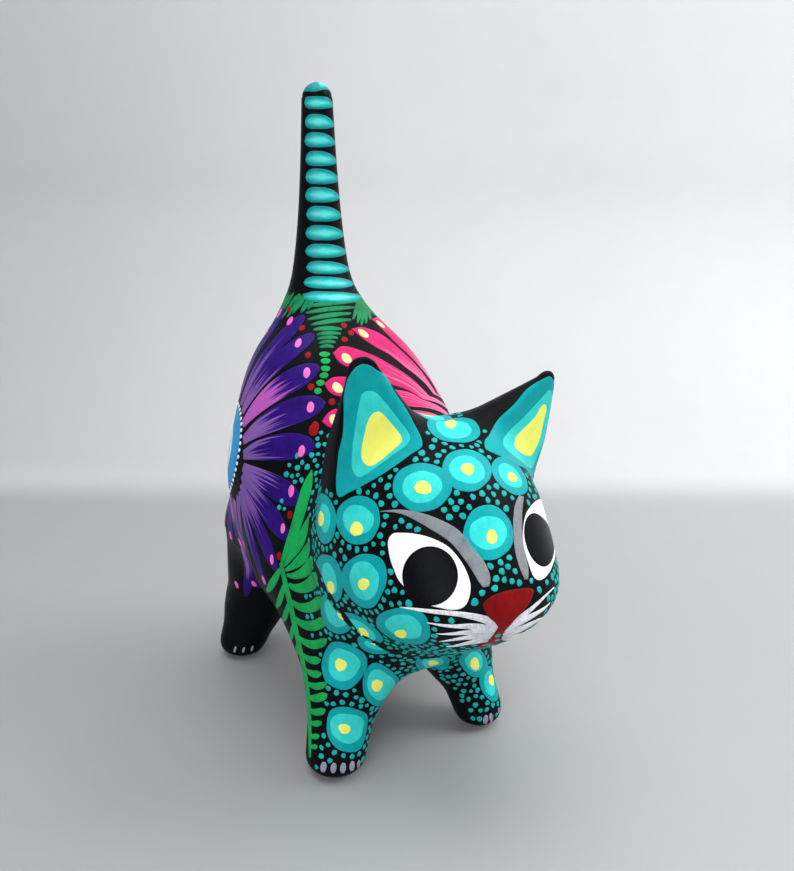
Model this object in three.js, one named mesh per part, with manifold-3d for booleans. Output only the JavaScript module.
// Painted folk-art cat figure, carved in pieces, pegged and glued.
// Millimetres, +Z up. The cat faces -Y, its own left side is +X, the soles rest on Z = 0.
// The origin is on the ground under the middle of the figure's bounding box.
import * as THREE from 'three';
import { mergeVertices } from 'three/addons/utils/BufferGeometryUtils.js';
import Module from 'manifold-3d';

// ---------------------------------------------------------------- driving dimensions
const FRAME_SHIFT = [0, 13.357, 0];      // carving frame -> part frame

// body masses: centre, semi-axes
const RUMP = { c: [0.0, 12.2, 64.0], r: [31.28, 24.5, 36.0] };
const CHEST = { c: [0.0, -33.74, 48.2], r: [23.98, 15.91, 23.36] };
const NECK = { a: [0.0, 0.0, 57.33], b: [0.0, -28.0, 58.31], ra: 29.29, rb: 16.973 };
const SKULL = { c: [0.0, -37.8, 58.94], r: [25.57, 27.93, 26.32] };
const MUZZLE = { c: [0.0, -56.63, 53.5], r: [17.5, 14.85, 9.43] };
// legs: hip, knee and foot centres with radii (right side mirrored in X)
const FORE = { h: [14.06, -8.36, 40.62], k: [16.83, -26.55, 18.74], f: [21.11, -30.5, 4.0], rh: 13.704, rk: 8.488, rf: 7.27 };
const HIND = { h: [16.5, 26.5, 42.0], k: [20.3, 34.6, 15.5], f: [25.0, 34.0, 4.0], rh: 13.5, rk: 8.3, rf: 6.9 };
const LEFT_FORE = { shift: [-1.31, 0.88, 0], scale: 0.85 };
// tail: a round spire that flares into the rump
const TAIL = { x: -0.95, y: 22.89, top: 163.5, tip: 3.91, taper: 0.03, flare: 2.22, flareZ: 118.0, flareL: 17.0, base: 97.0 };
// ears: centre of the rounded tip, a point on the outer edge, a point on the inner edge, tip radius
const EARS = {
  right: { s: [-19.28, -44.71, 98.24], o: [-23.68, -39.85, 75.85], i: [-6.28, -46.23, 82.58], rt: 3.36 },
  left: { s: [26.3, -44.9, 92.7], o: [28.1, -41.2, 70.2], i: [8.07, -47.01, 81.76], rt: 2.7 },
};
const EAR_BULGE = 0.38, EAR_DEPTH = 0.42, EAR_LENGTH = 30.0, EAR_GIRTH = 13.3;
// fillet sizes
const K = { rumpChest: 14.04, neck: 12.0, tail: 18.77, fore: 17.014, hind: 12.0, knee: 4, sole: 3.6, muzzle: 10.0, ear: 5.5, headBody: 5.0 };

// joints: flat faces planed on both pieces, a turned dowel in drilled holes
const GAP = 0.3;                       // glue line left between faces, and round each dowel
const LEG_JOINT_Z = 20;                // legs meet the belly on this level
const TAIL_JOINT_Z = 104;              // tail meets the rump on this level
const NECK_JOINT = { p: [0, -30, 55.2], n: [0, -0.858, 0.512] };
const EAR_SEAT = 24.2;                 // ear seat's distance from the skull's centre
const DOWEL = { leg: [2.0, 14], tail: [2.5, 22], neck: [5.0, 26], ear: [1.5, 10] };   // radius, length
const COLOURS = { torso: 0x1a1430, head: 0x0c1a1c, ear: 0x0a8f93, tail: 0x0b2a2c, fore: 0x0b5f4a, hind: 0x08080a, dowel: 0xd9b98a };

// ---------------------------------------------------------------- the carved surface
const V = (a) => new THREE.Vector3(a[0], a[1], a[2]);
const smin = (a, b, k) => { const h = Math.max(k - Math.abs(a - b), 0) / k; return Math.min(a, b) - h * h * k * 0.25; };
const smax = (a, b, k) => -smin(-a, -b, k);
function ellipsoid(x, y, z, e) {
  const dx = x - e.c[0], dy = y - e.c[1], dz = z - e.c[2], [a, b, c] = e.r;
  const k0 = Math.hypot(dx / a, dy / b, dz / c), k1 = Math.hypot(dx / (a * a), dy / (b * b), dz / (c * c)) + 1e-9;
  return k0 * (k0 - 1) / k1;
}
function limb(x, y, z, a, b, ra, rb) {
  const bx = b[0] - a[0], by = b[1] - a[1], bz = b[2] - a[2];
  const h = Math.min(1, Math.max(0, ((x - a[0]) * bx + (y - a[1]) * by + (z - a[2]) * bz) / (bx * bx + by * by + bz * bz)));
  return Math.hypot(x - a[0] - h * bx, y - a[1] - h * by, z - a[2] - h * bz) - (ra + (rb - ra) * h);
}
function leg(x, y, z, L, side, shift, scale) {
  const m = (p, t) => [side * p[0] + shift[0] * t, p[1] + shift[1] * t, p[2]];
  const h = m(L.h, 0), k = m(L.k, 0.6), f = m(L.f, 1);
  return smin(limb(x, y, z, h, k, L.rh, L.rk * scale), limb(x, y, z, k, f, L.rk * scale, L.rf * scale), K.knee);
}
function tailSpire(x, y, z) {
  const rho = Math.hypot(x - TAIL.x, y - TAIL.y), z0 = TAIL.top - TAIL.tip, zc = Math.max(z, TAIL.base);
  let R = TAIL.tip + TAIL.taper * (z0 - zc) + TAIL.flare * Math.exp(-(zc - TAIL.flareZ) / TAIL.flareL);
  const m = TAIL.taper + TAIL.flare / TAIL.flareL * Math.exp(-(TAIL.base - TAIL.flareZ) / TAIL.flareL);
  const u = Math.max(TAIL.base - z, 0);
  R += m * u - 0.03 * u * u;
  return 0.9 * (z > z0 ? Math.hypot(rho, z - z0) - TAIL.tip : rho - R);
}
function earShape(e) {
  const S = V(e.s), e1 = V(e.o).sub(S), e2 = V(e.i).sub(S);
  const n = new THREE.Vector3().crossVectors(e1, e2).normalize();
  if (n.y > 0) n.negate();
  const X = e1.clone().normalize(), Y = new THREE.Vector3().crossVectors(n, X);
  let t1 = 0, t2 = Math.atan2(e2.dot(Y), e2.dot(X));
  const sg = Math.sign(t2);
  t1 += sg * Math.asin(e.rt / e1.length()); t2 -= sg * Math.asin(e.rt / e2.length());
  const m = 0.5 * (t1 + t2), al = 0.5 * Math.abs(t2 - t1);
  const down = X.clone().multiplyScalar(Math.cos(m)).addScaledVector(Y, Math.sin(m));
  return { S, n, al, up: down.clone().negate(), side: new THREE.Vector3().crossVectors(down.clone().negate(), n), rt: e.rt };
}
const EAR = { right: earShape(EARS.right), left: earShape(EARS.left) };
function earField(x, y, z, E) {
  const q = new THREE.Vector3(x, y, z).sub(E.S);
  const hh = -q.dot(E.up), h0 = Math.max(hh, 0), ca = Math.cos(E.al), sa = Math.sin(E.al);
  const wf = E.rt / ca + h0 * sa / ca, c = EAR_BULGE * h0, R = Math.hypot(wf, c);
  const px = q.dot(E.side), py = q.dot(E.n) + c;
  const yy = py < 0 ? py * R / (E.rt / ca + EAR_DEPTH * h0) : py;
  const rho = Math.hypot(px, yy) * wf / R;
  let F = hh * ca + rho * sa < 0 ? Math.hypot(rho, hh) - E.rt : rho * ca - hh * sa - E.rt;
  F = smax(F, q.dot(E.n), 1.2);
  F = smax(F, Math.hypot(px, q.dot(E.n) + EAR_BULGE * EAR_LENGTH * 0.6) - EAR_GIRTH, 4);
  return smax(F, hh - EAR_LENGTH, 3);
}
function field(x, y, z) {
  let F = smin(ellipsoid(x, y, z, RUMP), ellipsoid(x, y, z, CHEST), K.rumpChest);
  F = smin(F, limb(x, y, z, NECK.a, NECK.b, NECK.ra, NECK.rb), K.neck);
  F = smin(F, tailSpire(x, y, z), K.tail);
  F = smin(F, leg(x, y, z, FORE, -1, [0, 0, 0], 1), K.fore);
  F = smin(F, leg(x, y, z, FORE, 1, LEFT_FORE.shift, LEFT_FORE.scale), K.fore);
  F = smin(F, leg(x, y, z, HIND, -1, [0, 0, 0], 1), K.hind);
  F = smin(F, leg(x, y, z, HIND, 1, [0, 0, 0], 1), K.hind);
  F = smax(F, -z, K.sole);
  let H = smin(ellipsoid(x, y, z, SKULL), ellipsoid(x, y, z, MUZZLE), K.muzzle);
  H = smin(H, earField(x, y, z, EAR.right), K.ear);
  H = smin(H, earField(x, y, z, EAR.left), K.ear);
  return smin(F, H, K.headBody);
}
// distance along a direction from an inside point to the carved surface, or the cap if it is further
function reach(o, d, cap) {
  const at = (t) => field(o[0] + d[0] * t, o[1] + d[1] * t, o[2] + d[2] * t);
  let t = 0, step = 0.6;
  while (t < cap && at(t + step) < 0) t += step;
  if (t >= cap) return cap;
  let lo = t, hi = t + step;
  for (let i = 0; i < 14; i++) { const m = (lo + hi) / 2; if (at(m) < 0) lo = m; else hi = m; }
  return Math.min((lo + hi) / 2, cap);
}

// ---------------------------------------------------------------- solids
const wasm = await Module();
wasm.setup();
const toManifold = (geometry) => {
  const g = geometry.clone();
  g.deleteAttribute('normal'); g.deleteAttribute('uv');
  const m = mergeVertices(g, 1e-4);
  const idx = Array.from(m.index.array), tris = [];
  for (let i = 0; i < idx.length; i += 3) {
    const [a, b, c] = [idx[i], idx[i + 1], idx[i + 2]];
    if (a !== b && b !== c && a !== c) tris.push(a, b, c);
  }
  return new wasm.Manifold(new wasm.Mesh({ numProp: 3, vertProperties: new Float32Array(m.attributes.position.array), triVerts: new Uint32Array(tris) }));
};
const toGeometry = (solid) => {
  const mesh = solid.getMesh(), g = new THREE.BufferGeometry();
  const p = new Float32Array(mesh.numVert * 3);
  for (let i = 0; i < mesh.numVert; i++) for (let k = 0; k < 3; k++) p[i * 3 + k] = mesh.vertProperties[i * mesh.numProp + k];
  g.setAttribute('position', new THREE.BufferAttribute(p, 3));
  g.setIndex(new THREE.BufferAttribute(new Uint32Array(mesh.triVerts), 1));
  return g;
};
// a ball whose every vertex is pushed out to the carved surface
function carvedBall(centre, across, down, cap, up = [0, 0, 1]) {
  const g = new THREE.SphereGeometry(1, across, down);
  g.rotateX(Math.PI / 2);
  g.applyQuaternion(new THREE.Quaternion().setFromUnitVectors(new THREE.Vector3(0, 0, 1), V(up).normalize()));
  const p = g.attributes.position, d = new THREE.Vector3();
  for (let i = 0; i < p.count; i++) {
    d.fromBufferAttribute(p, i).normalize();
    const r = reach(centre, [d.x, d.y, d.z], cap);
    p.setXYZ(i, centre[0] + d.x * r, centre[1] + d.y * r, centre[2] + d.z * r);
  }
  return toManifold(g);
}
// a stack of rings round a moving centre line, pushed out to the carved surface
function carvedStack(levels, centreAt, around, cap) {
  const g = new THREE.CylinderGeometry(1, 1, 1, around, levels.length - 1, false);
  const p = g.attributes.position;
  for (let i = 0; i < p.count; i++) {
    const row = Math.round((0.5 - p.getY(i)) * (levels.length - 1));       // row 0 is the top
    const z = levels[row], c = centreAt(z), rad = Math.hypot(p.getX(i), p.getZ(i));
    if (rad < 1e-6) { p.setXYZ(i, c[0], c[1], z); continue; }
    const dx = p.getX(i) / rad, dy = -p.getZ(i) / rad;
    const r = Math.max(reach([c[0], c[1], Math.max(z, 0.002)], [dx, dy, 0], cap), 0.25);
    p.setXYZ(i, c[0] + dx * r, c[1] + dy * r, z);
  }
  return toManifold(g);
}
// a half-space block: everything on the far side of a plane, turned so that its face is flat on the plane
function blockBeyond(p, n, size = 300) {
  const g = new THREE.BoxGeometry(size, size, size);
  g.translate(0, 0, size / 2);
  g.applyQuaternion(new THREE.Quaternion().setFromUnitVectors(new THREE.Vector3(0, 0, 1), V(n).normalize()));
  g.translate(p[0], p[1], p[2]);
  return toManifold(g);
}
const along = (p, n, t) => [p[0] + n[0] * t, p[1] + n[1] * t, p[2] + n[2] * t];
const neg = (n) => [-n[0], -n[1], -n[2]];
function round(p, n, radius, length, sides = 16, chamfer = 0) {
  const h = length / 2;
  const prof = chamfer > 0
    ? [[0, -h], [radius - chamfer, -h], [radius, -h + chamfer], [radius, h - chamfer], [radius - chamfer, h], [0, h]]
    : [[0, -h], [radius, -h], [radius, h], [0, h]];
  const g = new THREE.LatheGeometry(prof.map(([x, y]) => new THREE.Vector2(x, y)), sides);
  g.applyQuaternion(new THREE.Quaternion().setFromUnitVectors(new THREE.Vector3(0, 1, 0), V(n).normalize()));
  g.translate(p[0], p[1], p[2]);
  return toManifold(g);
}

// ear seats, square to the line from the skull's centre to the middle of the ear's base
const earSeat = {};
for (const k of ['right', 'left']) {
  const e = EARS[k], mid = V(e.o).add(V(e.i)).multiplyScalar(0.5).addScaledVector(EAR[k].n, -3.5);
  const n = mid.clone().sub(V(SKULL.c)).normalize();
  earSeat[k] = { n: n.toArray(), p: V(SKULL.c).addScaledVector(n, EAR_SEAT).toArray() };
}
// leg centre lines
const legLine = (L, side, shift) => (z) => {
  const k = [side * L.k[0] + shift[0] * 0.6, L.k[1] + shift[1] * 0.6], f = [side * L.f[0] + shift[0], L.f[1] + shift[1]];
  const t = Math.min(1.25, Math.max(0, (z - L.f[2]) / (L.k[2] - L.f[2])));
  return [f[0] + (k[0] - f[0]) * t, f[1] + (k[1] - f[1]) * t];
};
const LEGS = {
  front_right_leg: { L: FORE, side: -1, shift: [0, 0, 0], dowel: 'front_right_leg_dowel' },
  front_left_leg: { L: FORE, side: 1, shift: LEFT_FORE.shift, dowel: 'front_left_leg_dowel' },
  rear_right_leg: { L: HIND, side: -1, shift: [0, 0, 0], dowel: 'rear_right_leg_dowel' },
  rear_left_leg: { L: HIND, side: 1, shift: [0, 0, 0], dowel: 'rear_left_leg_dowel' },
};
for (const v of Object.values(LEGS)) {
  const c = legLine(v.L, v.side, v.shift)(LEG_JOINT_Z);
  v.axis = [0, 0, 1]; v.seat = [c[0], c[1], LEG_JOINT_Z];
}

const dowels = [];
const addDowel = (name, p, n, [r, len]) => dowels.push({ name, p, n, r, len });
for (const v of Object.values(LEGS)) addDowel(v.dowel, v.seat, [0, 0, 1], DOWEL.leg);
addDowel('tail_dowel', [TAIL.x, TAIL.y, TAIL_JOINT_Z], [0, 0, 1], DOWEL.tail);
addDowel('neck_dowel', along(NECK_JOINT.p, [0, 0, 0], 0), NECK_JOINT.n, DOWEL.neck);
addDowel('right_ear_dowel', earSeat.right.p, earSeat.right.n, DOWEL.ear);
addDowel('left_ear_dowel', earSeat.left.p, earSeat.left.n, DOWEL.ear);
const bored = (solid, names) => {
  for (const d of dowels) if (names.includes(d.name)) solid = solid.subtract(round(d.p, d.n, d.r + GAP, d.len + 2 * GAP, 16));
  return solid;
};

const nodes = [];
const add = (name, solid, color) => nodes.push({ name, solid, color });

// torso
let torso = carvedBall([0, 0, 54], 44, 32, 76);
torso = torso.subtract(blockBeyond([0, 0, LEG_JOINT_Z + GAP / 2], [0, 0, -1]));
torso = torso.subtract(blockBeyond([0, 0, TAIL_JOINT_Z - GAP / 2], [0, 0, 1]));
torso = torso.subtract(blockBeyond(along(NECK_JOINT.p, NECK_JOINT.n, -GAP / 2), NECK_JOINT.n));
torso = bored(torso, ['neck_dowel', 'tail_dowel', ...Object.values(LEGS).map((v) => v.dowel)]);
add('torso', torso, COLOURS.torso);

// head
let head = carvedBall(SKULL.c, 40, 28, 33);
head = head.subtract(blockBeyond(along(NECK_JOINT.p, NECK_JOINT.n, GAP / 2), neg(NECK_JOINT.n)));
head = head.subtract(blockBeyond([0, 0, LEG_JOINT_Z + GAP / 2], [0, 0, -1]));
for (const k of ['right', 'left']) head = head.subtract(blockBeyond(along(earSeat[k].p, earSeat[k].n, -GAP / 2), earSeat[k].n));
head = bored(head, ['neck_dowel', 'right_ear_dowel', 'left_ear_dowel']);
add('head', head, COLOURS.head);

// ears
for (const k of ['right', 'left']) {
  const E = EAR[k], c = E.S.clone().addScaledVector(E.up, -13).addScaledVector(E.n, -3.2).toArray();
  let ear = carvedBall(c, 28, 20, 22, E.up.toArray());
  ear = ear.subtract(blockBeyond(along(earSeat[k].p, earSeat[k].n, GAP / 2), neg(earSeat[k].n)));
  ear = bored(ear, [k + '_ear_dowel']);
  add(k + '_ear', ear, COLOURS.ear);
}

// tail
{
  const z0 = TAIL.top - TAIL.tip, lv = [TAIL.top - 0.02];
  for (const a of [78, 60, 42, 22, 0]) lv.push(z0 + TAIL.tip * Math.sin(a * Math.PI / 180) * 0.999);
  for (const z of [154, 147, 140, 133, 127, 122, 118, 114.5, 111.5, 109, 106.5, 104, 101]) lv.push(z);
  let tail = carvedStack(lv, () => [TAIL.x, TAIL.y], 22, 24);
  tail = tail.subtract(blockBeyond([0, 0, TAIL_JOINT_Z + GAP / 2], [0, 0, -1]));
  tail = bored(tail, ['tail_dowel']);
  add('tail', tail, COLOURS.tail);
}

// legs
for (const [name, v] of Object.entries(LEGS)) {
  const lv = [LEG_JOINT_Z + 1, LEG_JOINT_Z, 17.5, 15, 12.5, 10, 7.5, 5, 3.4, 2, 1, 0.4, 0.1, 0];
  let legSolid = carvedStack(lv, legLine(v.L, v.side, v.shift), 20, 17);
  legSolid = legSolid.subtract(blockBeyond([0, 0, LEG_JOINT_Z - GAP / 2], [0, 0, 1]));
  legSolid = bored(legSolid, [v.dowel]);
  add(name, legSolid, name.startsWith('front') ? COLOURS.fore : COLOURS.hind);
}

// dowels
for (const d of dowels) add(d.name, round(d.p, d.n, d.r, d.len, 14, 0.4), COLOURS.dowel);

// ---------------------------------------------------------------- scene graph
const group = new THREE.Group();
for (const { name, solid, color } of nodes) {
  const parts = solid.decompose().filter((s) => s.volume() > 1);
  parts.sort((a, b) => b.volume() - a.volume());
  const mesh = new THREE.Mesh(toGeometry(parts[0]), new THREE.MeshStandardMaterial({ color, roughness: 0.35, metalness: 0 }));
  mesh.name = name;
  mesh.position.set(...FRAME_SHIFT);
  group.add(mesh);
}
export default group;
